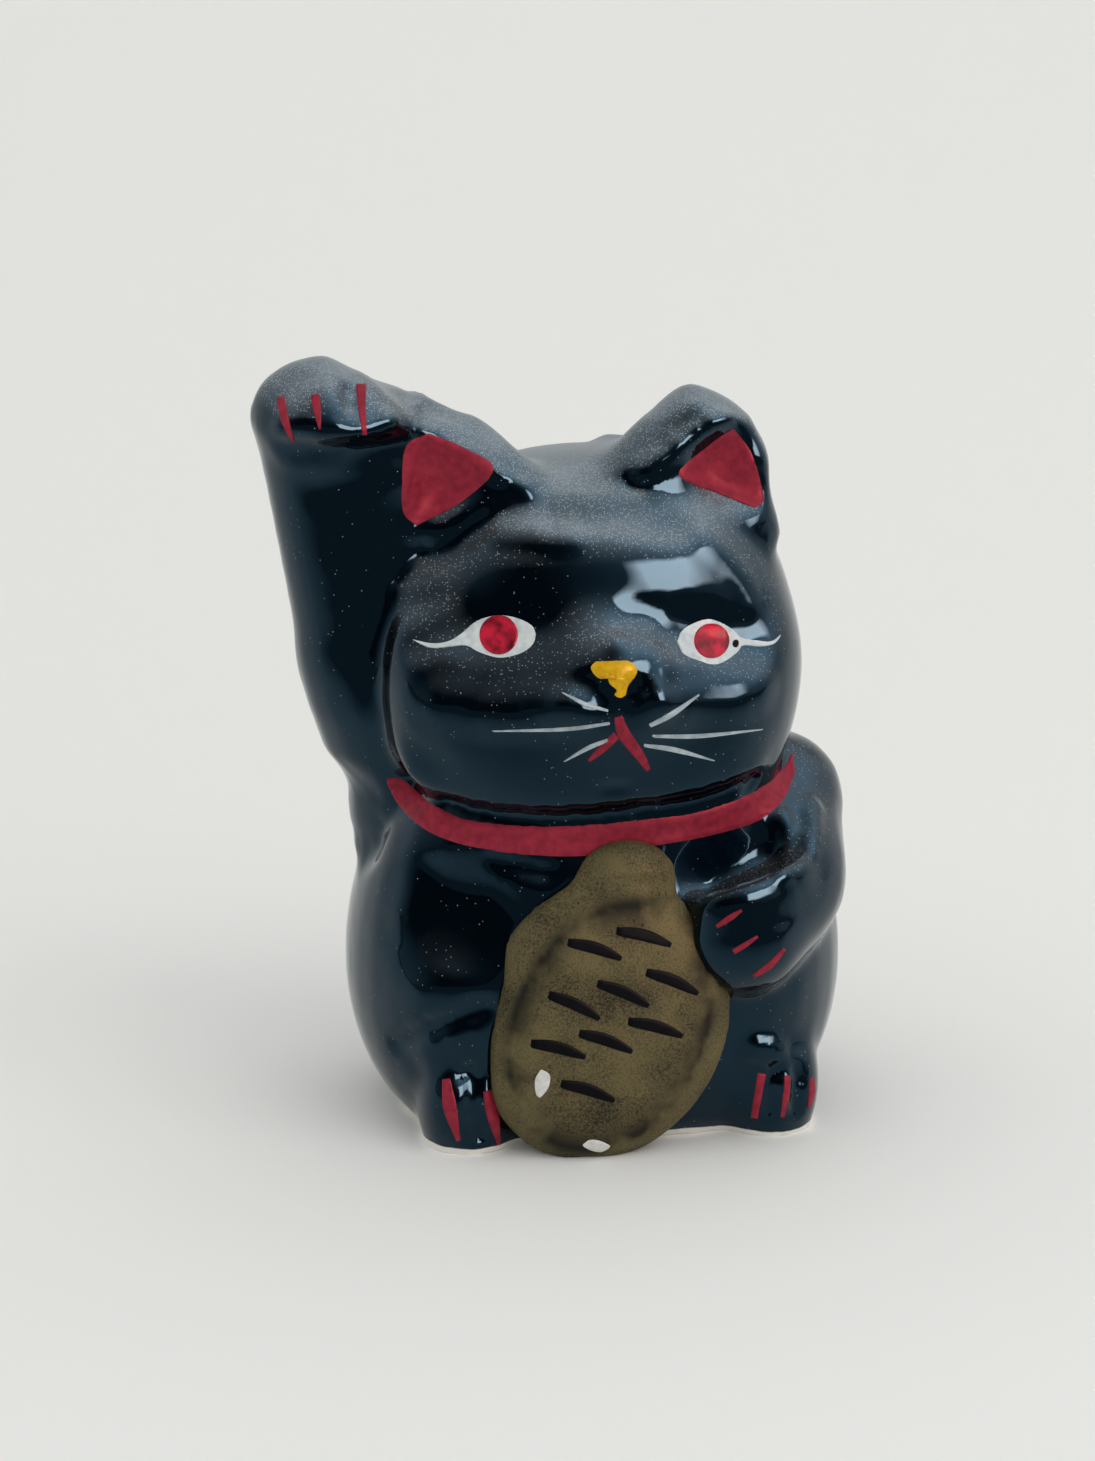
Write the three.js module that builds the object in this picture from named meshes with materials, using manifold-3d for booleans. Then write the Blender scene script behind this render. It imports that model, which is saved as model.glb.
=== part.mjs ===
// A seated lucky cat of slip-cast earthenware in a black glaze, its right forepaw raised beside
// the ear and a gold coin plaque held on its belly. Millimetres, +Z up; the cat faces -Y, so its
// own left side is at +X. Each member of the casting is a solid of its own, luted to its neighbours
// with a thin slip joint, and each patch of enamel is a thin solid that follows the glaze under it.
import * as THREE from 'three';
import { mergeVertices } from 'three/addons/utils/BufferGeometryUtils.js';
import Module from 'manifold-3d';

const wasm = await Module();
wasm.setup();

// Driving dimensions: the casting as a whole
const wall = 3.2;
const slipJoint = 0.3;
const enamelThickness = 0.3;
const neckHoleRadius = 3.5;
const ventHoleRadius = 3.5;

// Trunk, haunches and chest; the tuck is how far the rounded trunk would run on below the base
const trunkWidth = 43;
const trunkDepth = 33;
const trunkHeight = 39;
const trunkTuck = 4;
const trunkFullness = 3.3;
const haunchWidth = 18.6;
const haunchDepth = 27;
const haunchHeight = 28;
const haunchSpread = 14.8;
const haunchRise = 15;
const bellyHollowWidth = 15;
const bellyHollowHeight = 13;
const bellyHollowDepth = 2.4;
const bellyHollowX = 14.5;
const bellyHollowRise = 24;
const thighWidth = 15;
const thighHeight = 13;
const thighReach = 1.1;
const thighX = 15.5;
const thighRise = 15.5;
const bodyFillet = 5;

// Skull and jowls
const skullWidth = 36.4;
const skullDepth = 33;
const skullHeight = 32.2;
const skullSeat = 33;
const skullFullness = 2.4;
const jowlWidth = 37;
const jowlDepth = 33.4;
const jowlHeight = 20.4;
const jowlForward = 2.2;
const jowlFullness = 2.8;
const headFillet = 6;

// Relief of the face; a reach stands out from the skull and a depth is pressed into it
const browWidth = 36;
const browHeight = 12;
const browReach = 0.8;
const browRise = 9.5;
const socketWidth = 15;
const socketHeight = 11;
const socketDepth = 1.3;
const snoutWidth = 20;
const snoutHeight = 16;
const snoutReach = 2;
const snoutDrop = 4;
const whiskerPadWidth = 7;
const whiskerPadHeight = 7;
const whiskerPadReach = 0.7;
const whiskerPadDrop = 5;
const noseWidth = 5.6;
const noseHeight = 5.6;
const noseReach = 1.6;
const noseDrop = 0.8;

// Ears
const rightEarX = 14.2;
const leftEarX = 10.2;
const earWidth = 9.6;
const earHeight = 10.6;
const earThickness = 8;
const earProud = 5.8;
const earForward = 6.4;
const earLean = 3;
const earRootRadius = 3.6;
const earTipRadius = 4.4;
const rightEarDrop = 1.8;
const earOuterRootRadius = 3.3;
const earInnerRoot = 7;
const earInnerDrop = 2.8;
const earOuterInset = 4.3;
const earOuterRise = 8.6;
const earHollowRadius = 5.4;
const earHollowDepth = 1.4;
const earFillet = 3;

// Raised right arm and its paw
const raisedShoulderRadius = 6.4;
const raisedArmRadius = 5.9;
const raisedWristRadius = 5.6;
const raisedShoulderRise = 30;
const raisedShoulderIn = 0.3;
const raisedElbowRise = 43;
const raisedElbowOut = 2.4;
const raisedShoulderBack = 1;
const raisedElbowForward = 3;
const raisedWristDrop = 6.4;
const raisedWristBack = 2.4;
const raisedPawWidth = 14.4;
const raisedPawDepth = 12.4;
const raisedPawHeight = 10.2;
const raisedPawOut = 6;
const raisedPawRise = 69.6;
const raisedPawForward = 7.6;
const pawHeelRadius = 4.6;
const pawHeelIn = 5.4;
const pawHeelDrop = 1.6;
const webFootRadius = 3.2;
const webTopRadius = 5;
const webBack = 1.5;
const armFillet = 4;

// Lowered left arm and its paw
const loweredShoulderRadius = 6.6;
const loweredElbowRadius = 6.4;
const loweredPawRadius = 6.4;
const loweredShoulderRise = 30.6;
const loweredShoulderIn = 3.6;
const loweredShoulderForward = 2.5;
const loweredElbowRise = 24.6;
const loweredElbowForward = 10;
const loweredElbowIn = 5.6;
const loweredPawX = 12.2;
const loweredPawRise = 21.4;
const loweredPawSink = 0.6;

// Hind paws, toes and tail
const hindPawWidth = 9.6;
const hindPawDepth = 12;
const hindPawHeight = 16.4;
const hindPawRise = 4.4;
const hindPawSink = 3.6;
const rightHindPawX = 13.4;
const leftHindPawX = 16;
const toeRadius = 2.4;
const toeSpacing = 3.1;
const toeReach = 0.8;
const tailRadius = 3.4;
const tailTipRadius = 2.6;
const tailRise = 4.5;
const tailBendX = 6;
const tailBendRise = 6;
const tailTipX = 9;
const tailTipRise = 14;
const tailSink = 1;

// Coin plaque, its knob and the collar
const coinWidth = 22.8;
const coinHeight = 28;
const coinThickness = 9;
const coinX = -0.6;
const coinRise = 12.7;
const coinTilt = 22;
const coinFullness = 3.6;
const coinSink = 1.2;
const knobWidth = 9.4;
const knobHeight = 7.2;
const knobThickness = 6.4;
const knobX = 1.2;
const knobBelowCollar = 3.4;
const collarWidth = 2.9;
const collarThickness = 0.8;
const collarAboveSeat = 1.8;
const collarFrontRise = 30.2;
const collarSideRise = skullSeat + collarAboveSeat;
const knobRise = collarFrontRise - knobBelowCollar;

// Eyes
const eyeSpread = 9.8;
const eyeRise = 0.7;
const eyeWhiteLength = 7.2;
const eyeWhiteHeight = 4.4;
const eyeTailLength = 5;
const eyeTailWidth = 0.9;
const irisRadius = 1.95;

// Nose patch, mouth, whiskers and ear linings
const nosePatchWidth = 4.6;
const nosePatchHeight = 3.6;
const nosePatchDrop = 2.2;
const mouthLength = 6.2;
const mouthWidth = 1.3;
const mouthDrop = 6.2;
const mouthSpread = 28;
const whiskerNames = ['upper', 'middle', 'lower'];
const whiskerLengths = [5.6, 11.6, 6.6];
const whiskerAngles = [27, 1, -21];
const whiskerWidth = 0.8;
const whiskerGap = 0.7;
const liningWidth = 7.2;
const liningHeight = 8;
const liningDrop = 1.8;

// Claws
const clawLength = 4.2;
const clawWidth = 1.3;
const clawGap = 2;
const raisedClaws = 3;
const loweredClaws = 3;
const rightHindClaws = 2;
const leftHindClaws = 3;
const loweredClawRow = -50;
const loweredClawAngle = 35;

// Facets
const headDetail = 10;
const trunkDetail = 7;
const memberDetail = 4;
const coinDetail = 5;
const cavityDetail = 2;
const armRings = 12;
const capRings = 4;
const armSides = 15;
const brushSegments = 4;
const collarSegments = 14;
const drumSides = 24;

// Exactness of a walk to a surface, and of merging vertices
const tolerance = 1e-4;
const walkSteps = 200;

const point = (x, y, z) => new THREE.Vector3(x, y, z);
const radii = (width, depth, height) => point(width / 2, depth / 2, height / 2);
const turn = THREE.MathUtils.degToRad;
const forward = point(0, -1, 0);
const backward = point(0, 1, 0);
const sides = [[-1, 'right'], [1, 'left']];

// Forms: each gives a point's distance from its surface, negative inside
function ball(centre, size, fullness = 2) {
  return (p) => {
    const offset = ['x', 'y', 'z'].map((axis) => Math.abs(p[axis] - centre[axis]) / size[axis]);
    if (Math.hypot(...offset) < tolerance) return -Math.min(size.x, size.y, size.z);
    const level = offset.reduce((sum, share) => sum + share ** fullness, 0) ** (1 / fullness);
    const slope = offset.map((share, i) => (share / level) ** (fullness - 1) / size.getComponent(i));
    return (level - 1) / Math.hypot(...slope);
  };
}

// An oval plate that stands upright: round in the front view, fuller towards its faces
function plate(centre, size, fullness) {
  return (p) => {
    const [x, y, z] = ['x', 'y', 'z'].map((axis) => (p[axis] - centre[axis]) / size[axis]);
    const spread = Math.max(Math.hypot(x, z), tolerance);
    const level = (spread ** fullness + Math.abs(y) ** fullness) ** (1 / fullness);
    const rimSlope = (spread / level) ** (fullness - 1) * Math.hypot(x / size.x, z / size.z) / spread;
    const faceSlope = (Math.abs(y) / level) ** (fullness - 1) / size.y;
    return (level - 1) / Math.max(Math.hypot(rimSlope, faceSlope), tolerance);
  };
}

function limb(from, to, fromRadius, toRadius) {
  const along = to.clone().sub(from);
  return (p) => {
    const share = THREE.MathUtils.clamp(p.clone().sub(from).dot(along) / along.lengthSq(), 0, 1);
    const centre = from.clone().addScaledVector(along, share);
    return p.distanceTo(centre) - THREE.MathUtils.lerp(fromRadius, toRadius, share);
  };
}

function blend(fillet, ...forms) {
  const join = (a, b) => Math.min(a, b) - (Math.max(fillet - Math.abs(a - b), 0) ** 2) / (4 * fillet);
  return (p) => forms.map((form) => form(p)).reduce(join);
}

function hollowed(fillet, form, tool) {
  const cut = blend(fillet, (p) => -form(p), tool);
  return (p) => -cut(p);
}

// Raises a soft mound on a form, or presses a soft hollow into it where the height is negative
function modelled(form, place, size, height) {
  return (p) => {
    const level = p.clone().sub(place).divide(size).lengthSq();
    return level < 1 ? form(p) - height * (1 - level) ** 2 : form(p);
  };
}

// The point where a walk from inside a form meets its surface, or the surface at an offset from it
function reach(form, origin, direction, offset = 0) {
  const place = origin.clone();
  for (let step = 0; step < walkSteps; step++) {
    const distance = form(place) - offset;
    place.addScaledVector(direction, -distance);
    if (Math.abs(distance) < tolerance) break;
  }
  return place;
}

// Solids
function solid(geometry) {
  const bare = new THREE.BufferGeometry().setAttribute('position', geometry.getAttribute('position'));
  if (geometry.index) bare.setIndex(geometry.index);
  const merged = mergeVertices(bare, tolerance);
  const triVerts = [];
  for (let i = 0; i < merged.index.count; i += 3) {
    const [a, b, c] = [0, 1, 2].map((k) => merged.index.getX(i + k));
    if (a !== b && b !== c && c !== a) triVerts.push(a, b, c);
  }
  return new wasm.Manifold(new wasm.Mesh({
    numProp: 3,
    vertProperties: new Float32Array(merged.attributes.position.array),
    triVerts: new Uint32Array(triVerts),
  }));
}

// Pushes each vertex of a sphere or capsule straight out from its spine until it lies on the form
function wrap(geometry, spine, form, offset) {
  const position = geometry.attributes.position;
  const half = geometry.parameters.height ? geometry.parameters.height / 2 : 0;
  const vertex = new THREE.Vector3();
  for (let i = 0; i < position.count; i++) {
    vertex.fromBufferAttribute(position, i);
    const along = THREE.MathUtils.clamp(vertex.y, -half, half);
    const { origin, frame } = spine(half ? (along + half) / (2 * half) : 0);
    const direction = vertex.setY(vertex.y - along).normalize().applyMatrix4(frame);
    position.setXYZ(i, ...reach(form, origin, direction, offset));
  }
  return solid(geometry);
}

// A skin makes the closed surface of a form at any offset, and keeps each one that it has made
function skinOf(form, shape, spine) {
  const kept = new Map();
  return (offset) => {
    if (!kept.has(offset)) kept.set(offset, wrap(shape(), spine, form, offset));
    return kept.get(offset);
  };
}

function aroundPoint(form, centre, detail) {
  const still = { origin: centre, frame: new THREE.Matrix4() };
  return skinOf(form, () => new THREE.IcosahedronGeometry(1, detail), () => still);
}

function alongCurve(form, points) {
  const curve = new THREE.CatmullRomCurve3(points);
  const spine = (share) => {
    const tangent = curve.getTangentAt(share);
    const side = tangent.clone().cross(forward).normalize();
    const frame = new THREE.Matrix4().makeBasis(side, tangent, side.clone().cross(tangent));
    return { origin: curve.getPointAt(share), frame };
  };
  return skinOf(form, () => new THREE.CapsuleGeometry(1, 1, capRings, armSides, armRings), spine);
}

function drum(radius, low, high) {
  const geometry = new THREE.CylinderGeometry(radius, radius, high - low, drumSides);
  return solid(geometry.rotateX(turn(90)).translate(0, 0, (low + high) / 2));
}

const benchSize = 200;
const bench = solid(new THREE.BoxGeometry(benchSize, benchSize, benchSize).translate(0, 0, -benchSize / 2));

// Trunk with haunches and the hollows between thighs and belly
const trunkCentre = point(0, 0, (trunkHeight - trunkTuck) / 2);
const trunkMass = blend(
  bodyFillet,
  ball(trunkCentre, radii(trunkWidth, trunkDepth, trunkHeight + trunkTuck), trunkFullness),
  ...sides.map(([side]) => ball(
    point(side * haunchSpread, 0, haunchRise),
    radii(haunchWidth, haunchDepth, haunchHeight),
  )),
);
const trunkForm = sides.reduce((form, [side]) => {
  const hollow = reach(trunkMass, point(side * bellyHollowX, 0, bellyHollowRise), forward);
  const thigh = reach(trunkMass, point(side * thighX, 0, thighRise), forward);
  const hollowSize = radii(bellyHollowWidth, bellyHollowWidth, bellyHollowHeight);
  const thighSize = radii(thighWidth, thighWidth, thighHeight);
  return modelled(modelled(form, hollow, hollowSize, -bellyHollowDepth), thigh, thighSize, thighReach);
}, trunkMass);
const trunkSkin = aroundPoint(trunkForm, trunkCentre, trunkDetail);

// Head
const headCentre = point(0, 0, skullSeat + skullHeight / 2);
const jowlCentre = point(0, -jowlForward, skullSeat + jowlHeight / 2);
const skullForm = blend(
  headFillet,
  ball(headCentre, radii(skullWidth, skullDepth, skullHeight), skullFullness),
  ball(jowlCentre, radii(jowlWidth, jowlDepth, jowlHeight), jowlFullness),
);
const onFace = (x, z) => reach(skullForm, headCentre.clone().add(point(x, 0, z)), forward);
const headForm = [
  [0, browRise, browWidth, browHeight, browReach],
  [-eyeSpread, eyeRise, socketWidth, socketHeight, -socketDepth],
  [eyeSpread, eyeRise, socketWidth, socketHeight, -socketDepth],
  [0, -snoutDrop, snoutWidth, snoutHeight, snoutReach],
  [-whiskerPadWidth / 2, -whiskerPadDrop, whiskerPadWidth, whiskerPadHeight, whiskerPadReach],
  [whiskerPadWidth / 2, -whiskerPadDrop, whiskerPadWidth, whiskerPadHeight, whiskerPadReach],
  [0, -noseDrop, noseWidth, noseHeight, noseReach],
].reduce((form, [x, z, width, height, proud]) => {
  const size = radii(width, skullDepth, height);
  return modelled(form, onFace(x, z), size, proud);
}, skullForm);
const headSkin = aroundPoint(headForm, headCentre, headDetail);

// Ears
function earTip(side) {
  const x = side < 0 ? -rightEarX : leftEarX;
  const drop = side < 0 ? rightEarDrop : 0;
  return headCentre.clone().add(point(x, -earForward, skullHeight / 2 + earProud - drop - earHeight / 2));
}

function earSkin(side) {
  const tip = earTip(side);
  const innerRoot = tip.clone().add(point(-side * earInnerRoot, -earLean / 2, -earInnerDrop));
  const outerX = side * (skullWidth / 2 - earOuterInset);
  const outerRoot = headCentre.clone().add(point(outerX, -earForward, earOuterRise));
  const body = blend(
    earFillet,
    ball(tip, radii(earWidth, earThickness, earHeight)),
    limb(innerRoot, tip, earRootRadius, earTipRadius),
    limb(outerRoot, tip, earOuterRootRadius, earOuterRootRadius),
  );
  const hollowY = -earThickness / 2 - earHollowRadius + earHollowDepth;
  const hollow = ball(
    tip.clone().add(point(side * earWidth / 8, hollowY, -earHeight / 8)),
    point(earHollowRadius, earHollowRadius, earHollowRadius),
  );
  const heart = tip.clone().add(point(0, 0, -earHeight / 5));
  return aroundPoint(hollowed(earHollowDepth, body, hollow), heart, memberDetail);
}

// A paw with a row of toes along its front
function pawForm(centre, size, count) {
  const bare = ball(centre, size);
  const places = Array.from({ length: count }, (_, i) => (i - (count - 1) / 2) * toeSpacing);
  return places.reduce((form, x) => {
    const place = reach(bare, centre.clone().add(point(x, 0, 0)), forward);
    return modelled(form, place, point(toeRadius, size.y, size.z), toeReach);
  }, bare);
}

// Raised right arm, joined to the head and ear beside it by a web
const headSideX = reach(headForm, headCentre, point(-1, 0, 0)).x;
const raisedPaw = point(headSideX - raisedPawOut, -raisedPawForward, raisedPawRise);
const raisedShoulder = point(headSideX + raisedShoulderIn, raisedShoulderBack, raisedShoulderRise);
const raisedElbow = point(headSideX - raisedElbowOut, -raisedElbowForward, raisedElbowRise);
const raisedWrist = raisedPaw.clone().add(point(0, raisedWristBack, -raisedWristDrop));
const pawHeel = raisedPaw.clone().add(point(pawHeelIn, raisedWristBack, -pawHeelDrop));
const webFoot = point(headSideX, webBack - raisedElbowForward, raisedElbowRise);
const webTop = point(headSideX, raisedWrist.y, raisedWrist.z);
const raisedArmForm = blend(
  armFillet,
  limb(raisedShoulder, raisedElbow, raisedShoulderRadius, raisedArmRadius),
  limb(raisedElbow, raisedWrist, raisedArmRadius, raisedWristRadius),
  pawForm(raisedPaw, radii(raisedPawWidth, raisedPawDepth, raisedPawHeight), 4),
  ball(pawHeel, point(pawHeelRadius, pawHeelRadius, pawHeelRadius)),
  limb(webFoot, webTop, webFootRadius, webTopRadius),
);
const raisedArmSkin = alongCurve(raisedArmForm, [raisedShoulder, raisedElbow, raisedWrist, raisedPaw]);

// Lowered left arm
const trunkSideX = trunkWidth / 2;
const loweredShoulder = point(trunkSideX - loweredShoulderIn, -loweredShoulderForward, loweredShoulderRise);
const loweredElbow = point(trunkSideX - loweredElbowIn, -loweredElbowForward, loweredElbowRise);
const loweredPaw = reach(trunkMass, point(loweredPawX, 0, loweredPawRise), forward);
loweredPaw.y += loweredPawSink;
const loweredArmForm = blend(
  armFillet,
  limb(loweredShoulder, loweredElbow, loweredShoulderRadius, loweredElbowRadius),
  limb(loweredElbow, loweredPaw, loweredElbowRadius, loweredPawRadius),
);
const loweredArmSkin = alongCurve(loweredArmForm, [loweredShoulder, loweredElbow, loweredPaw]);

// Hind paws
const hindPaw = (side) => {
  const x = side < 0 ? -rightHindPawX : leftHindPawX;
  const place = reach(trunkMass, point(x, 0, hindPawRise), forward);
  return place.add(point(0, hindPawSink, 0));
};
const hindPawSkin = (side) => aroundPoint(
  pawForm(hindPaw(side), radii(hindPawWidth, hindPawDepth, hindPawHeight), 3),
  hindPaw(side),
  memberDetail,
);

// Tail, curled up against the back
const onBack = (x, z) => reach(trunkMass, point(x, 0, z), backward).add(point(0, -tailSink, 0));
const tailRoot = onBack(0, tailRise);
const tailBend = onBack(tailBendX, tailBendRise);
const tailTip = onBack(tailTipX, tailTipRise);
const tailForm = blend(
  tailRadius,
  limb(tailRoot, tailBend, tailRadius, tailRadius),
  limb(tailBend, tailTip, tailRadius, tailTipRadius),
);
const tailSkin = alongCurve(tailForm, [tailRoot, tailBend, tailTip]);

// Coin plaque, leaning on the belly, and the knob that hangs it from the collar
const coinCentre = reach(trunkMass, point(coinX, 0, coinRise), forward).add(point(0, coinSink, 0));
const coinUpright = plate(coinCentre, radii(coinWidth, coinThickness, coinHeight), coinFullness);
const coinForm = (p) => coinUpright(
  p.clone().sub(coinCentre).applyAxisAngle(backward, -turn(coinTilt)).add(coinCentre),
);
const coinSkin = aroundPoint(coinForm, coinCentre, coinDetail);
const knobCentre = reach(trunkMass, point(knobX, 0, knobRise), forward);
const knobForm = ball(knobCentre, radii(knobWidth, knobThickness, knobHeight));
const knobSkin = aroundPoint(knobForm, knobCentre, memberDetail);

// Finishes
function finish(color, roughness, metalness = 0) {
  return new THREE.MeshStandardMaterial({ color, roughness, metalness });
}

const blackGlaze = finish(0x0b0e12, 0.08);
const redEnamel = finish(0x8f1f2b, 0.35);
const whiteEnamel = finish(0xd9dcdc, 0.4);
const yellowEnamel = finish(0xc9971c, 0.3);
const goldEnamel = finish(0x77643a, 0.6, 0.3);

// Assembly: a piece is cut clear of every member placed before it
const figurine = new THREE.Group();
const placed = [];
const largest = (made) => made.decompose().sort((a, b) => b.volume() - a.volume())[0];
const cleared = (made) => placed.reduce((left, skin) => left.subtract(skin(slipJoint)), made);
const bedded = (made) => largest(cleared(made));

function add(name, made, material) {
  const { vertProperties, triVerts } = made.getMesh();
  const geometry = new THREE.BufferGeometry();
  geometry.setAttribute('position', new THREE.BufferAttribute(vertProperties, 3));
  geometry.setIndex(new THREE.BufferAttribute(triVerts, 1));
  geometry.computeVertexNormals();
  const mesh = new THREE.Mesh(geometry, material);
  mesh.name = name;
  figurine.add(mesh);
}

function addMember(name, skin, material, ...cuts) {
  const made = bedded(skin(0).subtract(bench));
  add(name, cuts.reduce((left, cut) => left.subtract(cut), made), material);
  placed.push(skin);
}

// The casting: head and trunk are hollow, open to each other at the neck and to the air under the base
const headCavity = aroundPoint(headForm, headCentre, cavityDetail)(-wall);
const trunkCavity = aroundPoint(trunkForm, trunkCentre, cavityDetail)(-wall)
  .subtract(bench.translate(0, 0, wall))
  .subtract(aroundPoint(headForm, headCentre, cavityDetail)(wall));
const neckHole = drum(neckHoleRadius, trunkCentre.z, headCentre.z);
const ventHole = drum(ventHoleRadius, -wall, 2 * wall);
addMember('head_shell', headSkin, blackGlaze, headCavity, neckHole);
addMember('torso_shell', trunkSkin, blackGlaze, trunkCavity, neckHole, ventHole);
const earSkins = Object.fromEntries(sides.map(([side, name]) => [name, earSkin(side)]));
for (const [, name] of sides) addMember(`${name}_ear`, earSkins[name], blackGlaze);
addMember('raised_right_arm', raisedArmSkin, blackGlaze);
addMember('coin_plaque', coinSkin, goldEnamel);
addMember('coin_knob', knobSkin, goldEnamel);
addMember('lowered_left_arm', loweredArmSkin, blackGlaze);
const hindPawSkins = Object.fromEntries(sides.map(([side, name]) => [name, hindPawSkin(side)]));
for (const [, name] of sides) addMember(`${name}_hind_paw`, hindPawSkins[name], blackGlaze);
addMember('tail', tailSkin, blackGlaze);

// Prisms: an outline in the front view, drawn out towards -Y from a depth inside the carrier
function prism(outline, depth, curveSegments = brushSegments) {
  const settings = { depth: benchSize, bevelEnabled: false, curveSegments };
  const geometry = new THREE.ExtrudeGeometry(outline, settings);
  return solid(geometry.rotateX(turn(90)).translate(0, depth, 0));
}

// A brush stroke: round where the brush lands, then drawn out to a point
function stroke(x, z, length, angle, width, bow = 0) {
  const outline = new THREE.Shape();
  const [ux, uz] = [Math.cos(turn(angle)), Math.sin(turn(angle))];
  const at = (along, across) => [x + ux * along - uz * across, z + uz * along + ux * across];
  outline.moveTo(...at(0, -width / 2));
  outline.quadraticCurveTo(...at(length / 2, bow - width / 2), ...at(length, 0));
  outline.quadraticCurveTo(...at(length / 2, bow + width / 2), ...at(0, width / 2));
  outline.quadraticCurveTo(...at(-width / 2, 0), ...at(0, -width / 2));
  return outline;
}

function almond(x, z, length, height) {
  const outline = new THREE.Shape();
  outline.moveTo(x - length / 2, z);
  outline.quadraticCurveTo(x, z + height, x + length / 2, z);
  outline.quadraticCurveTo(x, z - height, x - length / 2, z);
  return outline;
}

// A rounded triangle, wide edge up for a positive height
function shield(x, z, width, height) {
  const outline = new THREE.Shape();
  outline.moveTo(x - width / 2, z + height / 2);
  outline.quadraticCurveTo(x, z + height * 0.6, x + width / 2, z + height / 2);
  outline.quadraticCurveTo(x + width / 3, z - height / 4, x, z - height / 2);
  outline.quadraticCurveTo(x - width / 3, z - height / 4, x - width / 2, z + height / 2);
  return outline;
}

// A coat of enamel on a carrier, or on a coat that lies there already
function addEnamel(name, skin, material, depth, outlines, coat = 1) {
  const tool = outlines.map((outline) => prism(outline, depth)).reduce((joined, next) => joined.add(next));
  const under = skin(coat * slipJoint + (coat - 1) * enamelThickness);
  const over = skin(coat * (slipJoint + enamelThickness));
  add(name, bedded(over.intersect(tool).subtract(under)), material);
}

// Collar: a band that hangs in a curve across the chest and runs level round the back
const collarEnd = 4 * (collarSideRise - collarFrontRise);
const collarCurve = new THREE.Shape();
const collarAt = (across, rise) => [across * trunkWidth, collarFrontRise + rise];
const halfBand = collarWidth / 2;
collarCurve.moveTo(...collarAt(-1, collarEnd - halfBand));
collarCurve.quadraticCurveTo(...collarAt(0, -collarEnd - halfBand), ...collarAt(1, collarEnd - halfBand));
collarCurve.lineTo(...collarAt(1, collarEnd + halfBand));
collarCurve.quadraticCurveTo(...collarAt(0, -collarEnd + halfBand), ...collarAt(-1, collarEnd + halfBand));
const collarBack = new THREE.BoxGeometry(benchSize, benchSize, collarWidth);
collarBack.translate(0, benchSize / 2 + slipJoint, collarSideRise);
const collarSkin = trunkSkin(slipJoint + collarThickness);
add('collar_front', bedded(collarSkin.intersect(prism(collarCurve, 0, collarSegments))), redEnamel);
add('collar_back', bedded(collarSkin.intersect(solid(collarBack))), redEnamel);

// Eyes: a white with a drawn-out outer corner, and the iris over it
for (const [side, name] of sides) {
  const eye = headCentre.clone().add(point(side * eyeSpread, 0, eyeRise));
  const corner = eye.x + side * (eyeWhiteLength / 2 - eyeTailWidth);
  const tail = stroke(corner, eye.z, eyeTailLength, side < 0 ? 180 : 0, eyeTailWidth);
  const white = almond(eye.x, eye.z, eyeWhiteLength, eyeWhiteHeight);
  const iris = new THREE.Shape().absarc(eye.x, eye.z, irisRadius, 0, 2 * Math.PI);
  addEnamel(`${name}_eye_white`, headSkin, whiteEnamel, eye.y, [white, tail]);
  addEnamel(`${name}_iris`, headSkin, redEnamel, eye.y, [iris], 2);
}

// Nose patch and mouth
const nosePatch = shield(0, headCentre.z - nosePatchDrop, nosePatchWidth, nosePatchHeight);
addEnamel('nose_patch', headSkin, yellowEnamel, headCentre.y, [nosePatch]);
const mouthRise = headCentre.z - mouthDrop;
const lips = sides.map(([side]) => stroke(0, mouthRise, mouthLength, side * mouthSpread - 90, mouthWidth));
addEnamel('mouth', headSkin, redEnamel, headCentre.y, lips);

// Whiskers, fanned from the corners of the mouth
const whiskerPitch = whiskerWidth + whiskerGap;
for (const [side, name] of sides) {
  whiskerNames.forEach((row, i) => {
    const lipWidth = Math.max(0, i - 1) * whiskerPitch * Math.tan(turn(mouthSpread));
    const root = side * ((mouthWidth + whiskerWidth) / 2 + whiskerGap + lipWidth);
    const angle = side < 0 ? 180 - whiskerAngles[i] : whiskerAngles[i];
    const hair = stroke(root, mouthRise + (1 - i) * whiskerPitch, whiskerLengths[i], angle, whiskerWidth);
    addEnamel(`${name}_${row}_whisker`, headSkin, whiteEnamel, headCentre.y, [hair]);
  });
}

// Ear linings: a triangle with its point towards the crown of the head
for (const [side, name] of sides) {
  const tip = earTip(side);
  const lining = new THREE.Shape();
  const at = (across, up) => [tip.x + side * across * liningWidth, tip.z - liningDrop + up * liningHeight];
  lining.moveTo(...at(0.3, 0.5));
  lining.quadraticCurveTo(...at(-0.2, 0.3), ...at(-0.5, 0));
  lining.quadraticCurveTo(...at(0.1, -0.2), ...at(0.5, -0.5));
  lining.quadraticCurveTo(...at(0.6, 0), ...at(0.3, 0.5));
  addEnamel(`${name}_ear_lining`, earSkins[name], redEnamel, tip.y, [lining]);
}

// Claws: rows of strokes on the paws
function addClaws(name, skin, middle, count, rowAngle, clawAngle) {
  const heading = (angle) => new THREE.Vector2(Math.cos(turn(angle)), Math.sin(turn(angle)));
  const step = heading(rowAngle).multiplyScalar(clawWidth + clawGap);
  const lead = heading(clawAngle).multiplyScalar(clawLength / 2);
  for (let i = 0; i < count; i++) {
    const start = new THREE.Vector2(middle.x, middle.z).sub(lead);
    start.addScaledVector(step, i - (count - 1) / 2);
    const claw = stroke(start.x, start.y, clawLength, clawAngle, clawWidth);
    addEnamel(`${name}_claw_${i + 1}`, skin, redEnamel, middle.y, [claw]);
  }
}

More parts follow.
